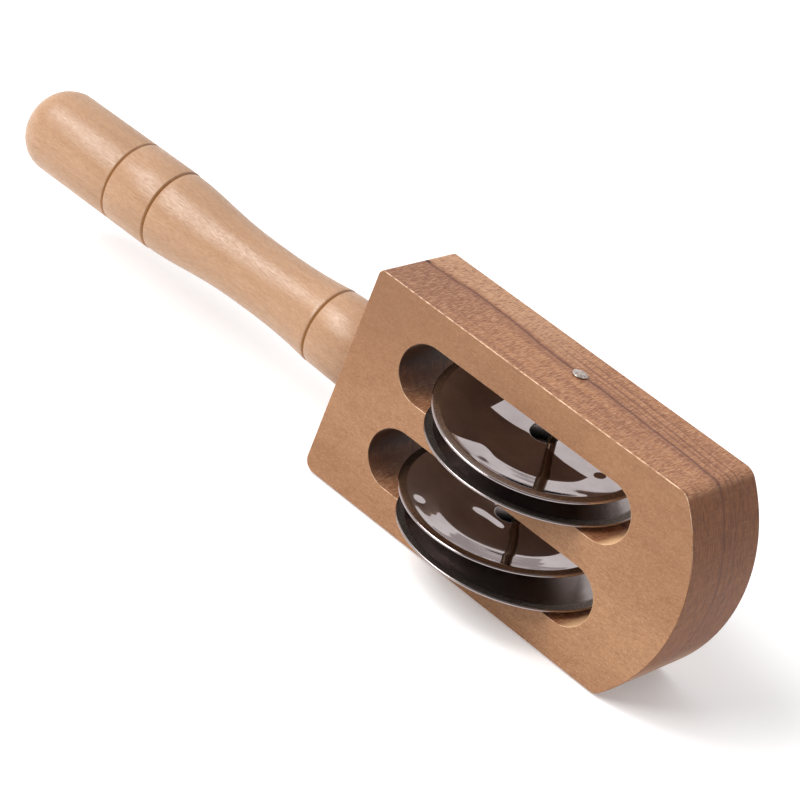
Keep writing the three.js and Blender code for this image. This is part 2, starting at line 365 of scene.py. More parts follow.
def handle_placement():
    """Local +Z runs along the handle's axis, from the block's end face to the grip's end."""
    swing = math.tan(math.radians(HANDLE_SWING))
    droop = math.tan(math.radians(HANDLE_DROOP))
    turn = Vector((-1, -swing, -droop)).to_track_quat("Z", "Y").to_matrix().to_4x4()
    return Matrix.Translation((HANDLE_END_X, 0, MID_HEIGHT - HANDLE_BELOW_MIDDLE)) @ turn


def knot_hole():
    """A small pit where a dead twig came out, at the handle's end of the upper side."""
    half_circle = [(0, -1), *[(p.x, p.y) for p in arc((0, 0), 1, -75, 75, 10)], (0, 1)]
    stretch = Matrix.Diagonal((*KNOT_HOLE["size"], 1))
    return lathe("knot", half_circle, 24, Matrix.Translation(KNOT_HOLE["centre"]) @ stretch)


def drill(name, radius, low, high, segments, place):
    """A round cutter from low to high along the local Z of the matrix place."""
    return lathe(name, [(0, low), (radius, low), (radius, high), (0, high)], segments, place)


def make_block(material):
    block = make_board()
    depth = TENON_LENGTH + GLUE_GAP
    socket = drill("socket", TENON_RADIUS + GLUE_GAP, -depth, 1, 64, handle_placement())
    bore_end = BLOCK_HEIGHT - NAIL_LENGTH - NAIL_CLEARANCE
    bore_place = Matrix.Translation((0, NAIL_OFF_CENTRE, 0))
    bore_radius = NAIL_RADIUS + NAIL_CLEARANCE
    bore = drill("bore", bore_radius, bore_end, BLOCK_HEIGHT + 1, 32, bore_place)
    cut(block, socket, bore, knot_hole())
    block.data.shade_smooth()
    block.data.set_sharp_from_angle(angle=math.radians(BLOCK_SMOOTH_ANGLE))
    weighted = block.modifiers.new("flat faces stay flat", "WEIGHTED_NORMAL")
    weighted.keep_sharp = True
    weighted.weight = FLAT_FACE_WEIGHT
    finish_piece(block, "stick", "block", material)


# --- Handle -----------------------------------------------------------------------------------


def groove(position, before, after):
    """A V groove with softened lips, between a stretch of one radius and one of another."""
    half = GROOVE_HALF_WIDTH
    deepest = min(before, after) - GROOVE_DEPTH
    floor_half = GROOVE_FLOOR[0] * half
    floor = deepest + GROOVE_FLOOR[1]
    return [
        *[(before - depth, position - away * half) for away, depth in GROOVE_LIP],
        (floor, position - floor_half),
        (deepest, position),
        (floor, position + floor_half),
        *[(after - depth, position + away * half) for away, depth in reversed(GROOVE_LIP)],
    ]


def stretch_from_waist(end_position, end_radius, rise, steps):
    """Points from the waist to a wider end, the radius rising as the function rise says."""
    points = []
    for i in range(1, steps):
        share = i / steps
        radius = WAIST_RADIUS + (end_radius - WAIST_RADIUS) * rise(share)
        points.append((radius, WAIST_FROM_BLOCK + (end_position - WAIST_FROM_BLOCK) * share))
    return points


def flare(share):
    """How the radius widens from the waist to the collar."""
    return share**COLLAR_FLARE


def swell(share):
    """How the radius widens from the waist to the shoulder."""
    return (1 - math.cos(math.pi * share**SHOULDER_SWELL)) / 2


def handle_profile():
    """(radius, height) points from the tenon's end to the grip's end."""
    collar, shoulder, grip = GROOVES_FROM_BLOCK.values()
    lip = GROOVE_LIP[0][0] * GROOVE_HALF_WIDTH
    end_centre = (GRIP_RADIUS - GRIP_END_RADIUS, HANDLE_LENGTH - GRIP_END_RADIUS)
    return [
        (0, -TENON_LENGTH),
        (TENON_RADIUS - TENON_CHAMFER, -TENON_LENGTH),
        (TENON_RADIUS, TENON_CHAMFER - TENON_LENGTH),
        (TENON_RADIUS, GLUE_GAP),
        (COLLAR_RADIUS - COLLAR_CHAMFER, GLUE_GAP),
        (COLLAR_RADIUS, GLUE_GAP + COLLAR_CHAMFER),
        *groove(collar, COLLAR_END_RADIUS, COLLAR_END_RADIUS),
        *reversed(stretch_from_waist(collar + lip, COLLAR_END_RADIUS, flare, 18)),
        (WAIST_RADIUS, WAIST_FROM_BLOCK),
        *stretch_from_waist(shoulder - lip, SHOULDER_RADIUS, swell, 24),
        *groove(shoulder, SHOULDER_RADIUS, GRIP_RADIUS),
        *groove(grip, GRIP_RADIUS, GRIP_RADIUS),
        *[(p.x, p.y) for p in arc(end_centre, GRIP_END_RADIUS, 0, 90, 20)],
        (0, HANDLE_LENGTH),
    ]


def make_handle(material):
    profile = handle_profile()
    place = handle_placement()
    handle = lathe("handle_body", profile, HANDLE_SEGMENTS, place, HANDLE_SMOOTH_ANGLE)
    finish_piece(handle, "stick", "handle", material)


# --- Nail -------------------------------------------------------------------------------------


def batter(point):
    """Dents the nail's head a little, as a hammer does."""
    if point.z < 0:
        return point
    dent = noise.noise(point * 0.9 + Vector((7.1, 3.3, 0.4)))
    rim = ease((math.hypot(point.x, point.y) - 1.2) / 0.7)
    out = 1 + 0.03 * rim * dent
    z = point.z * (1 - 0.12 * rim * abs(dent))
    if point.z > 0.3:
        z += 0.03 * dent * (1 - rim)
    return Vector((point.x * out, point.y * out, z))


def make_nail(material):
    head = NAIL_HEAD_RADIUS
    under = NAIL_HEAD_UNDERSIDE
    rounding = NAIL_HEAD_ROUNDING
    rim_centre = (head - rounding, 0.27)
    profile = [
        (0, -NAIL_LENGTH),
        (NAIL_RADIUS * 0.35, NAIL_POINT_LENGTH * 0.3 - NAIL_LENGTH),
        (NAIL_RADIUS, NAIL_POINT_LENGTH - NAIL_LENGTH),
        (NAIL_RADIUS, -20),
        (NAIL_RADIUS, under),
        (head - 0.12, under),
        *[(p.x, p.y) for p in arc(rim_centre, rounding, -60, 80, 8)],
        *[(head * out, NAIL_HEAD_HEIGHT * up) for out, up in NAIL_HEAD_CROWN],
    ]
    place = Matrix.Translation((0, NAIL_OFF_CENTRE, BLOCK_HEIGHT))
    nail = lathe("nail_body", profile, NAIL_SEGMENTS, place, NAIL_SMOOTH_ANGLE, batter)
    finish_piece(nail, "stick", "nail", material)


# --- Jingles ----------------------------------------------------------------------------------


def dish_height(radius):
    """Height of the middle of the sheet, for a dish open upwards whose lip is at height 0."""
    if radius < JINGLE_LOWEST_RADIUS:
        share = (radius - JINGLE_HOLE_RADIUS) / (JINGLE_LOWEST_RADIUS - JINGLE_HOLE_RADIUS)
        return JINGLE_BOSS_HEIGHT * (1 - share) ** 2 - JINGLE_DEPTH
    share = (radius - JINGLE_LOWEST_RADIUS) / (JINGLE_LIP_START - JINGLE_LOWEST_RADIUS)
    return JINGLE_DEPTH * (min(share, 1) ** JINGLE_FLANK_BEND - 1)


def half_sheet(radius):
    """Half of the sheet's thickness, which grows a little towards the lip."""
    share = ease((radius - JINGLE_THICKENS_AT) / JINGLE_THICKENS_OVER)
    return JINGLE_HALF_SHEET + (JINGLE_HALF_LIP - JINGLE_HALF_SHEET) * share


def dish_profile():
    """The closed section of a jingle: under side outwards, round the rim, upper side inwards."""
    rounding = JINGLE_HALF_SHEET
    hole_centre = (JINGLE_HOLE_RADIUS + rounding, dish_height(JINGLE_HOLE_RADIUS + rounding))
    rim_centre = (JINGLE_RADIUS - JINGLE_HALF_LIP, 0)
    steps = JINGLE_SECTION_STEPS
    span = JINGLE_LIP_START - hole_centre[0]
    radii = [hole_centre[0] + span * i / steps for i in range(1, steps + 1)]
    radii += [JINGLE_LIP_START + 0.15, JINGLE_LIP_START + 0.5, JINGLE_LIP_START + 1]
    under = [(r, dish_height(r) - half_sheet(r)) for r in radii]
    over = [(r, dish_height(r) + half_sheet(r)) for r in reversed(radii)]
    rim = [(p.x, p.y) for p in arc(rim_centre, JINGLE_HALF_LIP, -90, 90, 10)]
    hole = [(p.x, p.y) for p in arc(hole_centre, rounding, 90, 270, 8)]
    return under + rim + over + hole


def waviness(seed, knocks):
    """The sheet isn't pressed quite true: its flank waves a little and is knocked in."""
    def shift(point):
        radius = math.hypot(point.x, point.y)
        where = Vector((point.x, point.y, 0))
        on_flank = ease((radius - 5) / 4) * ease((JINGLE_LIP_START - radius) / 2.5)
        rise = 0.0
        for height, length, stride, start in SHEET_WAVES:
            at = where / length + Vector((seed * stride, start, seed))
            rise += height * noise.noise(at) * on_flank
        for x, y, reach, height in knocks:
            rise += height * ease(1 - math.hypot(point.x - x, point.y - y) / reach)
        return Vector((point.x, point.y, point.z + rise))
    return shift


def jingle_placement(node):
    """Where a jingle lies, read from its CAD mesh: local Z is its axis and the lip is at 0."""
    points = np.array([v.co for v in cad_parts[node].data.vertices]) / MM
    points = np.unique(points.round(3), axis=0)
    middle = points.mean(0)
    axis = np.linalg.svd(points - middle)[2][2]
    axis *= np.sign(axis[2])
    along = (points - middle) @ axis
    out = np.linalg.norm(points - middle - np.outer(along, axis), axis=1)
    lip = along[out > JINGLE_RADIUS - CAD_POINT_NEAR].mean()
    hole = along[out < JINGLE_HOLE_RADIUS + CAD_POINT_NEAR].mean()
    centre = Vector(middle + axis * lip)
    open_way = Vector(axis if lip > hole else -axis)
    turn = Vector((0, 0, 1)).rotation_difference(open_way).to_matrix().to_4x4()
    return Matrix.Translation(centre) @ turn


def make_jingles():
    for seed, (node, body) in enumerate(JINGLE_BODIES.items(), start=1):
        name = node.replace("_jingle", "_dish")
        place = jingle_placement(node)
        shift = waviness(seed, KNOCKS.get(node, []))
        profile = dish_profile()
        dish = lathe(name, profile, JINGLE_SEGMENTS, place, JINGLE_SMOOTH_ANGLE, shift)
        steel = jingle_steel(name + "_steel", place, JINGLE_DENTS.get(node, no_dents))
        finish_piece(dish, body, node, steel)


def finish_piece(piece, body, node, material):
    piece.data.materials.clear()
    piece.data.materials.append(material)
    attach(piece, body)
    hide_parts(node)


# --- Materials --------------------------------------------------------------------------------


class Nodes:
    """Short calls for the shader nodes that the materials share."""

    def __init__(self, name):
        self.material = bpy.data.materials.new(name)
        self.material.use_nodes = True
        self.tree = self.material.node_tree
        self.shader = self.tree.nodes["Principled BSDF"]
        coordinates = self.add("ShaderNodeTexCoord")
        self.normal = coordinates.outputs["Normal"]
        scale = self.add("ShaderNodeVectorMath", operation="SCALE")
        scale.inputs["Scale"].default_value = 1 / MM
        self.link(coordinates.outputs["Object"], scale.inputs[0])
        self.place = scale.outputs[0]  # millimetres in the row frame

    def add(self, kind, **settings):
        node = self.tree.nodes.new(kind)
        for key, value in settings.items():
            setattr(node, key, value)
        return node

    def link(self, source, target):
        self.tree.links.new(source, target)

    def feed(self, value, target):
        if hasattr(value, "is_output"):
            self.link(value, target)
        else:
            target.default_value = value

    def math(self, operation, *values):
        node = self.add("ShaderNodeMath", operation=operation)
        for value, target in zip(values, node.inputs):
            self.feed(value, target)
        return node.outputs[0]

    def parts(self, vector):
        node = self.add("ShaderNodeSeparateXYZ")
        self.link(vector, node.inputs[0])
        return node.outputs[0], node.outputs[1], node.outputs[2]

    def vector(self, x, y, z):
        node = self.add("ShaderNodeCombineXYZ")
        for value, target in zip((x, y, z), node.inputs):
            self.feed(value, target)
        return node.outputs[0]

    def stretch(self, scales, offset=(0, 0, 0)):
        """The place, divided by scales and then moved by offset."""
        node = self.add("ShaderNodeMapping")
        node.inputs["Scale"].default_value = [1 / s for s in scales]
        node.inputs["Location"].default_value = offset
        self.link(self.place, node.inputs["Vector"])
        return node.outputs[0]

    def noise(self, scales, detail=2.0, rough=0.5, offset=(0, 0, 0), distortion=0.0):
        """Noise from about 0.25 to 0.75 whose blobs are about scales millimetres across."""
        node = self.add("ShaderNodeTexNoise")
        node.inputs["Scale"].default_value = 1
        node.inputs["Detail"].default_value = detail
        node.inputs["Roughness"].default_value = rough
        node.inputs["Distortion"].default_value = distortion
        self.link(self.stretch(scales, offset), node.inputs["Vector"])
        return node.outputs[0]

    def spread(self, value, low, high, to_low=0.0, to_high=1.0):
        """Maps low..high smoothly to to_low..to_high, and holds the ends."""
        node = self.add("ShaderNodeMapRange", interpolation_type="SMOOTHSTEP")
        for amount, target in zip((value, low, high, to_low, to_high), node.inputs):
            self.feed(amount, target)
        return node.outputs[0]

    def mix(self, share, first, second):
        node = self.add("ShaderNodeMix", data_type="RGBA")
        self.feed(share, node.inputs["Factor"])
        for value, target in ((first, node.inputs["A"]), (second, node.inputs["B"])):
            self.feed(value, target)
        return node.outputs["Result"]

    def curve(self, value, low, high, stops):
        """A smooth curve through stops: (share of the way from low to high, result)."""
        share = self.add("ShaderNodeMapRange")
        for amount, target in zip((value, low, high), share.inputs):
            self.feed(amount, target)
        ramp = self.add("ShaderNodeValToRGB")
        ramp.color_ramp.interpolation = "EASE"
        while len(ramp.color_ramp.elements) < len(stops):
            ramp.color_ramp.elements.new(0.5)
        for element, (position, result) in zip(ramp.color_ramp.elements, stops):
            element.position = position
            element.color = [result / (2 * CURVE_REACH) + 0.5] * 3 + [1]
        self.link(share.outputs[0], ramp.inputs[0])
        centred = self.math("SUBTRACT", ramp.outputs[0], 0.5)
        return self.math("MULTIPLY", centred, 2 * CURVE_REACH)

    def line(self, value, at, half_width):
        """1 on a thin line where value equals at, falling to 0 over half_width."""
        away = self.math("ABSOLUTE", self.math("SUBTRACT", value, at))
        return self.spread(away, 0, half_width, 1, 0)

    def bump(self, height, distance, strength=1.0, after=None):
        node = self.add("ShaderNodeBump")
        node.inputs["Strength"].default_value = strength
        node.inputs["Distance"].default_value = distance * MM
        self.link(height, node.inputs["Height"])
        if after:
            self.link(after, node.inputs["Normal"])
        return node.outputs[0]

    def set(self, **values):
        for key, value in values.items():
            self.feed(value, self.shader.inputs[SOCKETS[key]])
        return self.material


def rgb(red, green, blue):
    """A colour given as it looks on a screen, 0 to 255."""
    def linear(c):
        c /= 255
        return c / 12.92 if c <= 0.04045 else ((c + 0.055) / 1.055) ** 2.4
    return (linear(red), linear(green), linear(blue), 1.0)


def block_wood():
    """Brown hardwood whose growth rings lie nearly level with the board's big faces."""
    n = Nodes("block_wood")
    x, y, z = n.parts(n.place)
    nx, ny, nz = n.parts(n.normal)
    ring = ring_depth(n, x, y)
    main_ring = n.line(ring, 0, 0.8)
    halo = n.line(ring, -0.6, 3.4)
    late_rings = streaks_past_nail(n, x, ring)
    fibre = n.noise((2.6, 0.3, 0.3), detail=3, rough=0.65, offset=(5, 2, 0))
    fleck = n.noise((0.26, 2.0, 1.4), detail=2, rough=0.7, offset=(1, 8, 3))

    big_face = big_face_colour(n, x, z, fibre)
    side = side_colour(n, x, ring, fleck)
    side = n.mix(n.math("MULTIPLY", halo, 0.3), side, rgb(118, 74, 58))
    side = n.mix(n.math("MULTIPLY", late_rings, 0.6), side, rgb(100, 58, 44))
    side = n.mix(n.math("MULTIPLY", main_ring, 0.75), side, rgb(86, 46, 38))
    end = end_grain_colour(n)
    end = n.mix(n.math("MULTIPLY", main_ring, 0.6), end, rgb(92, 44, 28))
    end = n.mix(n.math("MULTIPLY", late_rings, 0.3), end, rgb(80, 48, 32))

    on_side = n.spread(n.math("ABSOLUTE", nz), 0.6, 0.85)
    on_end = n.spread(n.math("ABSOLUTE", nx), 0.55, 0.8)
    colour = n.mix(on_side, big_face, side)
    colour = n.mix(on_end, colour, end)
    # Painted highlight and wear: pale patches on eased edges that face the front and upwards.
    colour = n.mix(edge_wear_and_highlight(n, ny, nz), colour, rgb(232, 196, 164))
    # Painted light on the slots' ceilings.
    colour = n.mix(slot_ceiling_light(n, z, nz), colour, rgb(228, 192, 160))
    # Painted light: the slots' ends that face the handle are painted paler, as if lit.
    painted_lit_slot_ends = n.math("MULTIPLY", n.spread(nx, -0.1, -0.6), n.spread(x, 0, 10))
    colour = n.mix(n.math("MULTIPLY", painted_lit_slot_ends, 0.85), colour, rgb(232, 190, 144))
    # Painted shadow: dark upper part of the slots' ends nearest the handle.
    colour = n.mix(slot_end_shadow(n, x, z, nx), colour, rgb(44, 26, 20))
    colour = n.mix(knot_share(n), colour, rgb(52, 30, 24))

    height = n.math("ADD", n.math("MULTIPLY", fibre, 0.5), n.math("MULTIPLY", fleck, 0.6))
    height = n.math("ADD", height, n.math("MULTIPLY", main_ring, -0.3))
    normal = n.bump(height, 0.07, 0.7)
    rough = n.spread(fibre, 0.3, 0.7, 0.46, 0.62)
    n.set(coat=0.04, coat_roughness=0.35, specular=0.3)
    return n.set(colour=colour, roughness=rough, normal=normal)


def ring_depth(n, x, y):
    """Distance behind the dark growth ring that shows along the middle of the narrow sides."""
    stops = [(0, 2.1), (0.18, 3.5), (0.48, 1.6), (1, -0.9)]
    path = n.curve(x, HANDLE_END_X, BLOCK_HIGH.x, stops)
    sway = n.math("MULTIPLY", n.math("SUBTRACT", n.noise((9, 12, 12), detail=2), 0.5), 1.5)
    return n.math("ADD", n.math("SUBTRACT", y, path), sway)


def streaks_past_nail(n, x, ring):
    """Thinner dark rings behind the main one, strongest between the nail and the tip."""
    lines = n.math("MAXIMUM", n.line(ring, 2.7, 0.55), n.line(ring, 4.6, 0.8))
    lines = n.math("MAXIMUM", lines, n.line(ring, 7.4, 0.5))
    return n.math("MULTIPLY", lines, n.spread(x, -18, 4, 0.25, 1))


def big_face_colour(n, x, z, fibre):
    broad = n.noise((60, 9, 18), detail=3)
    cloud = n.noise((9, 4, 5), detail=4, rough=0.6, offset=(3, 1, 7))
    speck = n.noise((0.6, 0.3, 0.26), detail=3, rough=0.85, offset=(9, 4, 2))
    colour = n.mix(n.spread(broad, 0.35, 0.65), rgb(156, 112, 79), rgb(170, 126, 91))
    colour = n.mix(n.spread(cloud, 0.42, 0.72, 0, 0.4), colour, rgb(142, 98, 66))
    colour = n.mix(n.spread(fibre, 0.45, 0.75, 0, 0.35), colour, rgb(124, 84, 56))
    colour = n.mix(n.spread(speck, 0.5, 0.32, 0, 0.42), colour, rgb(200, 160, 120))
    colour = n.mix(n.spread(speck, 0.5, 0.68, 0, 0.5), colour, rgb(110, 74, 50))
    # Painted shade: the big faces darken towards the top and towards the handle's end.
    shade = n.math("ADD", n.spread(z, 16, 52, 0, 0.4), n.spread(x, -15, -50, 0, 0.25))
    return n.mix(shade, colour, rgb(126, 87, 58))


def side_colour(n, x, ring, fleck):
    late = n.noise((40, 1.3, 40), detail=3, rough=0.6, offset=(0, 2, 0))
    colour = n.mix(n.spread(late, 0.38, 0.66), rgb(164, 114, 78), rgb(142, 94, 64))
    pale_back = n.math("MULTIPLY", n.spread(ring, 0.5, 2.6), n.spread(x, 8, -28))
    colour = n.mix(n.math("MULTIPLY", pale_back, 0.75), colour, rgb(184, 142, 108))
    dark_front = n.math("MULTIPLY", n.spread(ring, 0.5, -1), n.spread(x, -12, -45, 0, 0.45))
    colour = n.mix(dark_front, colour, rgb(112, 76, 58))
    colour = n.mix(n.spread(fleck, 0.5, 0.34, 0, 0.5), colour, rgb(196, 152, 120))
    return n.mix(n.spread(fleck, 0.5, 0.66, 0, 0.75), colour, rgb(110, 66, 46))


def end_grain_colour(n):
    grain = n.noise((3, 0.35, 2.2), detail=4, rough=0.7)
    rays = n.noise((3, 5, 0.35), detail=3, rough=0.6)
    pits = n.noise((1.5, 0.6, 0.5), detail=3, rough=0.7, offset=(6, 6, 1))
    colour = n.mix(n.spread(grain, 0.35, 0.7), rgb(142, 86, 46), rgb(100, 54, 24))
    colour = n.mix(n.spread(rays, 0.5, 0.7, 0, 0.35), colour, rgb(150, 104, 74))
    return n.mix(n.spread(pits, 0.62, 0.74, 0, 0.6), colour, rgb(66, 40, 28))


def slot_ceiling_light(n, z, nz):
    """Painted light: the slots' ceilings are painted paler than the outside, as if lit by the
    bright jingles below.
    """
    below_top = n.spread(z, BLOCK_HEIGHT - 4, BLOCK_HEIGHT - 5)
    faces_down = n.math("MULTIPLY", n.spread(nz, -0.3, -0.7), below_top)
    return n.math("MULTIPLY", faces_down, n.spread(z, 6, 7, 0, 0.8))


def slot_end_shadow(n, x, z, nx):
    """Painted shadow on the upper part of the slots' ends nearest the handle."""
    faces_tip = n.math("MULTIPLY", n.spread(nx, 0.05, 0.5), n.spread(x, -26, -30))
    shadow_wobble = n.noise((2, 2, 2), detail=3, offset=(3, 3, 1))
    lowest = SLOTS["lower"][0] - SLOT_RADIUS
    apart = SLOTS["upper"][0] - SLOTS["lower"][0]
    height = n.math("MODULO", n.math("SUBTRACT", z, lowest), apart)
    upper_part = n.spread(n.math("ADD", height, n.math("MULTIPLY", shadow_wobble, 4.0)), 5, 8.5, 0.3, 1)
    return n.math("MULTIPLY", n.math("MULTIPLY", faces_tip, upper_part), 0.8)


def knot_share(n):
    """The inside of the pit at the handle's end of the upper side."""
    centre = KNOT_HOLE["centre"]
    size = [s * 1.25 for s in KNOT_HOLE["size"]]
    away = n.stretch(size, [-c / s for c, s in zip(centre, size)])
    length = n.add("ShaderNodeVectorMath", operation="LENGTH")
    n.link(away, length.inputs[0])
    return n.spread(length.outputs["Value"], 0.8, 1.1, 0.9, 0)


def edge_wear_and_highlight(n, ny, nz):
    """Pale edges where the eased edges face the front and upwards: partly rubbed wear, partly a
    painted highlight of the light from above and in front.
    """
    front = n.spread(n.math("MULTIPLY", ny, -1), 0.15, 0.45)
    up = n.spread(nz, 0.15, 0.45)
    patchiness = n.noise((2.4, 6, 6), detail=4, rough=0.7, offset=(4, 4, 4))
    patches = n.spread(patchiness, 0.36, 0.62, 0.1, 1)
    return n.math("MULTIPLY", n.math("MULTIPLY", front, up), patches)


def handle_wood():
    """Pale turned hardwood with fine streaks along its length and darkened grooves."""
    n = Nodes("handle_wood")
    x = n.parts(n.place)[0]
    broad = n.noise((45, 6, 6), detail=2, offset=(2, 0, 5))
    streak = n.noise((14, 0.5, 0.5), detail=4, rough=0.65)
    pores = n.noise((1.5, 0.26, 0.26), detail=2, rough=0.8, offset=(7, 1, 3))
    patch = n.noise((5, 1.6, 1.6), detail=3, rough=0.6, offset=(1, 9, 4))

    colour = n.mix(n.spread(broad, 0.35, 0.65), rgb(174, 136, 104), rgb(166, 128, 96))
    colour = n.mix(n.spread(streak, 0.42, 0.7, 0, 0.5), colour, rgb(156, 115, 85))
    colour = n.mix(n.spread(patch, 0.5, 0.75, 0, 0.3), colour, rgb(186, 154, 126))
    colour = n.mix(n.spread(pores, 0.5, 0.7, 0, 0.45), colour, rgb(144, 104, 74))
    colour = n.mix(n.spread(pores, 0.48, 0.34, 0, 0.3), colour, rgb(196, 160, 126))
    colour = n.mix(groove_share(n, x), colour, rgb(158, 108, 50))

    height = n.math("ADD", n.math("MULTIPLY", streak, 0.6), n.math("MULTIPLY", pores, 0.4))
    normal = n.bump(height, 0.08, 0.8)
    rough = n.spread(pores, 0.35, 0.65, 0.28, 0.5)
    n.set(coat=0.12, coat_roughness=0.25, specular=0.42)
    return n.set(colour=colour, roughness=rough, normal=normal)


def groove_share(n, x):
    """How far into a turned groove a point is, from its place along the handle."""
    share = None
    for position in GROOVES_FROM_BLOCK.values():
        line = n.line(x, HANDLE_END_X - position, 1.1 * GROOVE_HALF_WIDTH)
        share = line if share is None else n.math("MAXIMUM", share, line)
    return n.math("MULTIPLY", share, 0.9)


def rotated(n, vector, place, kind):
    """A node that turns the vector out of a jingle's own frame (VECTOR) or into it (TEXTURE)."""
    node = n.add("ShaderNodeMapping", vector_type=kind)
    node.inputs["Rotation"].default_value = place.to_euler()
    n.link(vector, node.inputs["Vector"])
    return node


def pressed_lean(n, place, x, y, radius, own_normal, dents):
    """The sheet's normal, leaned as the tool pressed it, and turned to a given slope in dents.

    In a jingle's own frame Z is its axis, X runs along the block and Y through it. A slope is how
    far the normal leans towards +X or +Y for each unit along Z.
    """
    nx, ny, nz = own_normal
    lean = n.curve(radius, JINGLE_HOLE_RADIUS, JINGLE_LIP_START, PRESSED_LEAN)
    share = n.math("MULTIPLY", n.math("DIVIDE", lean, radius), nz)
    pushes = []
    for axis, across, normal in ((0, x, nx), (1, y, ny)):
        push = n.math("MULTIPLY", n.math("MULTIPLY", share, across), -1)
        for mask, slopes in dents:
            wanted = n.math("SUBTRACT", n.math("MULTIPLY", nz, slopes[axis]), normal)
            push = n.math("ADD", push, n.math("MULTIPLY", n.math("SUBTRACT", wanted, push), mask))
        pushes.append(push)
    push = n.add("ShaderNodeVectorMath", operation="SCALE")
    n.link(n.vector(*pushes, 0.0), push.inputs[0])
    n.link(n.spread(radius, JINGLE_LIP_START - 0.5, JINGLE_LIP_START, 1, 0), push.inputs["Scale"])
    turn = n.add("ShaderNodeVectorTransform", convert_from="OBJECT", convert_to="WORLD")
    turn.vector_type = "VECTOR"
    n.link(rotated(n, push.outputs[0], place, "VECTOR").outputs[0], turn.inputs[0])
    total = n.add("ShaderNodeVectorMath", operation="ADD")
    n.link(n.add("ShaderNodeNewGeometry").outputs["Normal"], total.inputs[0])
    n.link(turn.outputs[0], total.inputs[1])
    unit = n.add("ShaderNodeVectorMath", operation="NORMALIZE")
    n.link(total.outputs[0], unit.inputs[0])
    return unit.outputs[0]


def squared_distance(n, x, y, at):
    """Squared distance of x, y from a spot in a jingle's own frame."""
    along = n.math("POWER", n.math("SUBTRACT", x, at[0]), 2.0)
    across = n.math("POWER", n.math("SUBTRACT", y, at[1]), 2.0)
    return n.math("ADD", along, across)


def upper_dents(n, x, y):
    """The upper slot's top jingle is dented behind its hole and at its right end."""
    line = n.math("SUBTRACT", y, n.math("MULTIPLY", x, 0.08))
    behind = n.math("MULTIPLY", n.spread(line, -4.4, -2.9), n.spread(x, -14, -12.8))
    behind = n.math("MULTIPLY", behind, n.spread(x, 0, 3, 1, 0))
    beside = n.math("MULTIPLY", n.spread(y, -4.2, -2.6), n.spread(x, 1, 4))
    end = n.math("MULTIPLY", n.spread(x, 15, 17), n.spread(y, -14, -9))
    slant = n.math("SUBTRACT", x, n.math("MULTIPLY", y, 0.915))
    near = n.math("MULTIPLY", n.spread(slant, 10.2, 11.6), n.spread(x, -3, 1, 1, 0))
    near = n.math("MULTIPLY", near, n.spread(y, -15.5, -17.5))
    spot = n.spread(squared_distance(n, x, y, (17.3, -0.6)), 1.2, 2.4, 1, 0)
    return [
        (behind, (0.0, 0.24)),
        (n.math("MAXIMUM", beside, end), (-0.2, 0.18)),
        (near, (0.0, 0.335)),
        (spot, (-0.1, -0.1)),
    ]


def lower_dents(n, x, y):
    """The lower slot's top jingle has a narrow dent by its hole and a small one at the left."""
    narrow = n.spread(n.math("ABSOLUTE", n.math("ADD", y, 5.3)), 0.2, 2.2, 1, 0)
    length = n.math("MULTIPLY", n.spread(x, -10, -4), n.spread(x, 1, 6, 1, 0))
    by_hole = n.math("MULTIPLY", narrow, length)
    spot = n.spread(squared_distance(n, x, y, (-13.6, -17.6)), 1.5, 4, 1, 0)
    return [(by_hole, (0.0, 0.21)), (spot, (0.05, 0.29))]


JINGLE_DENTS = {"upper_slot_top_jingle": upper_dents, "lower_slot_top_jingle": lower_dents}


def no_dents(n, x, y):
    return []


def jingle_steel(name, place, dents):
    """Bright plated sheet, duller outside and on the lip, and dark round the hole outside."""
    n = Nodes(name)
    own = rotated(n, n.place, place, "TEXTURE")
    own.inputs["Location"].default_value = place.translation
    x, y = n.parts(own.outputs[0])[:2]
    length = n.add("ShaderNodeVectorMath", operation="LENGTH")
    n.link(n.vector(x, y, 0.0), length.inputs[0])
    radius = length.outputs["Value"]
    own_normal = n.parts(rotated(n, n.normal, place, "TEXTURE").outputs[0])
    outside = n.spread(own_normal[2], -0.3, 0.3, 1, 0)
    on_lip = n.spread(radius, JINGLE_LIP_START - 0.2, JINGLE_LIP_START + 0.2)
    on_rim = n.spread(radius, JINGLE_RADIUS - 0.5, JINGLE_RADIUS - 0.2)
    lip_band = n.math("MULTIPLY", on_lip, n.math("SUBTRACT", 1.0, on_rim))
    by_hole = n.math("MULTIPLY", outside, n.spread(radius, 6, 9, 1, 0))

    smear = n.noise((6, 6, 6), detail=4, rough=0.6)
    scratch = n.noise((0.25, 7, 7), detail=3, rough=0.7, distortion=0.6)
    speck = n.noise((0.4, 0.4, 0.4), detail=2, rough=0.6)
    colour = n.mix(n.spread(smear, 0.3, 0.7), rgb(178, 167, 167), rgb(166, 155, 154))
    colour = n.mix(n.math("MULTIPLY", outside, 0.8), colour, rgb(146, 138, 135))
    # The lip band is darker, speckled and rougher than the rest of the sheet.
    dark_lip_metal = n.mix(n.spread(speck, 0.35, 0.65), rgb(96, 86, 78), rgb(134, 122, 112))
    colour = n.mix(n.math("MULTIPLY", lip_band, 0.9), colour, dark_lip_metal)
    colour = n.mix(n.math("MULTIPLY", by_hole, 0.9), colour, rgb(34, 30, 28))
    rough = n.spread(smear, 0.3, 0.7, 0.03, 0.06)
    rough = n.math("ADD", rough, n.math("MULTIPLY", outside, 0.2))
    rough = n.math("ADD", rough, n.math("MULTIPLY", lip_band, 0.2))
    leaned = pressed_lean(n, place, x, y, radius, own_normal, dents(n, x, y))
    normal = n.bump(scratch, 0.002, 0.3, after=leaned)
    return n.set(colour=colour, metallic=1.0, roughness=rough, normal=normal)


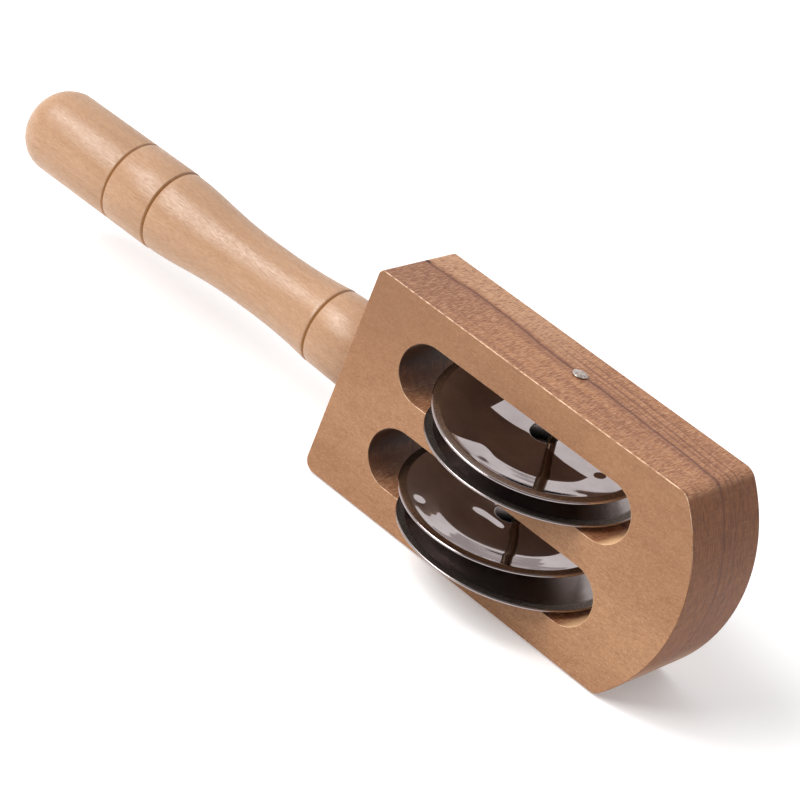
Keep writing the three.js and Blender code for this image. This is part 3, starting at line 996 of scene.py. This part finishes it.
def nail_steel():
    """Drawn steel: a silvery, hammered head and a dark shank."""
    n = Nodes("nail_steel")
    z = n.parts(n.place)[2]
    on_head = n.spread(z, BLOCK_HEIGHT - 0.3, BLOCK_HEIGHT)
    mottle = n.noise((0.7, 0.7, 0.7), detail=4, rough=0.65)
    drawn = n.noise((0.15, 0.15, 6), detail=2)
    shank = n.mix(n.spread(drawn, 0.35, 0.65), rgb(160, 138, 116), rgb(104, 86, 70))
    head = n.mix(n.spread(mottle, 0.35, 0.65), rgb(200, 190, 182), rgb(150, 138, 130))
    colour = n.mix(on_head, shank, head)
    rough = n.spread(mottle, 0.3, 0.7, 0.28, 0.45)
    return n.set(colour=colour, metallic=1.0, roughness=rough, normal=n.bump(mottle, 0.03, 0.4))


# --- Studio -----------------------------------------------------------------------------------


def make_camera():
    data = bpy.data.cameras.new("camera")
    data.lens = CAMERA_LENS
    data.sensor_width = CAMERA_SENSOR
    camera = bpy.data.objects.new("camera", data)
    bpy.context.scene.collection.objects.link(camera)
    forward = (Vector(CAMERA_LOOKS_AT) - Vector(CAMERA_AT)).normalized()
    level = forward.to_track_quat("-Z", "Y").to_matrix().to_4x4()
    roll = Matrix.Rotation(-CAMERA_ROLL, 4, "Z")
    camera.matrix_world = Matrix.Translation(CAMERA_AT) @ level @ roll
    bpy.context.scene.camera = camera


def area_light(name, at, power):
    data = bpy.data.lights.new(name, "AREA")
    data.shape = "SQUARE"
    data.size = LIGHT_SIZE
    data.energy = power
    light = bpy.data.objects.new(name, data)
    light.location = at
    way = Vector(LIGHTS_AIM) - Vector(at)
    light.rotation_euler = way.to_track_quat("-Z", "Y").to_euler()
    bpy.context.scene.collection.objects.link(light)


def make_world():
    """A soft studio: bright behind the object, as seen from the camera, and darker elsewhere."""
    world = bpy.data.worlds.new("studio")
    world.use_nodes = True
    bpy.context.scene.world = world
    tree = world.node_tree
    background = tree.nodes["Background"]
    coordinates = tree.nodes.new("ShaderNodeTexCoord")
    along = tree.nodes.new("ShaderNodeVectorMath")
    along.operation = "DOT_PRODUCT"
    along.inputs[1].default_value = WORLD_BRIGHT_WAY
    spread = tree.nodes.new("ShaderNodeMapRange")
    spread.interpolation_type = "SMOOTHSTEP"
    for value, target in zip((*WORLD_TURNS_BRIGHT, *WORLD_STRENGTHS), list(spread.inputs)[1:]):
        target.default_value = value
    tree.links.new(coordinates.outputs["Generated"], along.inputs[0])
    tree.links.new(along.outputs["Value"], spread.inputs[0])
    tree.links.new(spread.outputs[0], background.inputs["Strength"])
    background.inputs["Color"].default_value = WORLD_COLOUR


def make_floor():
    half = FLOOR_HALF_WIDTH / MM
    z = (CAD_BOX[0][2] - FLOOR_GAP) / MM
    corners = [(-half, -half, z), (half, -half, z), (half, half, z), (-half, half, z)]
    floor = new_object("floor", corners, [[0, 1, 2, 3]])
    n = Nodes("pale_floor")
    tint = n.noise((400, 400, 400), detail=2)
    colour = n.mix(n.spread(tint, 0.3, 0.7), (0.93, 0.93, 0.93, 1), (0.9, 0.9, 0.9, 1))
    n.shader.inputs["Emission Color"].default_value = (1, 1, 1, 1)
    n.shader.inputs["Emission Strength"].default_value = FLOOR_GLOW
    floor.data.materials.append(n.set(colour=colour, roughness=0.9, specular=0.1))


def make_studio():
    make_world()
    make_floor()
    for name, (at, power) in LIGHTS.items():
        area_light(name, at, power)
    bpy.context.scene.view_settings.view_transform = "Standard"


make_camera()
make_studio()
make_block(block_wood())
make_handle(handle_wood())
make_nail(nail_steel())
make_jingles()
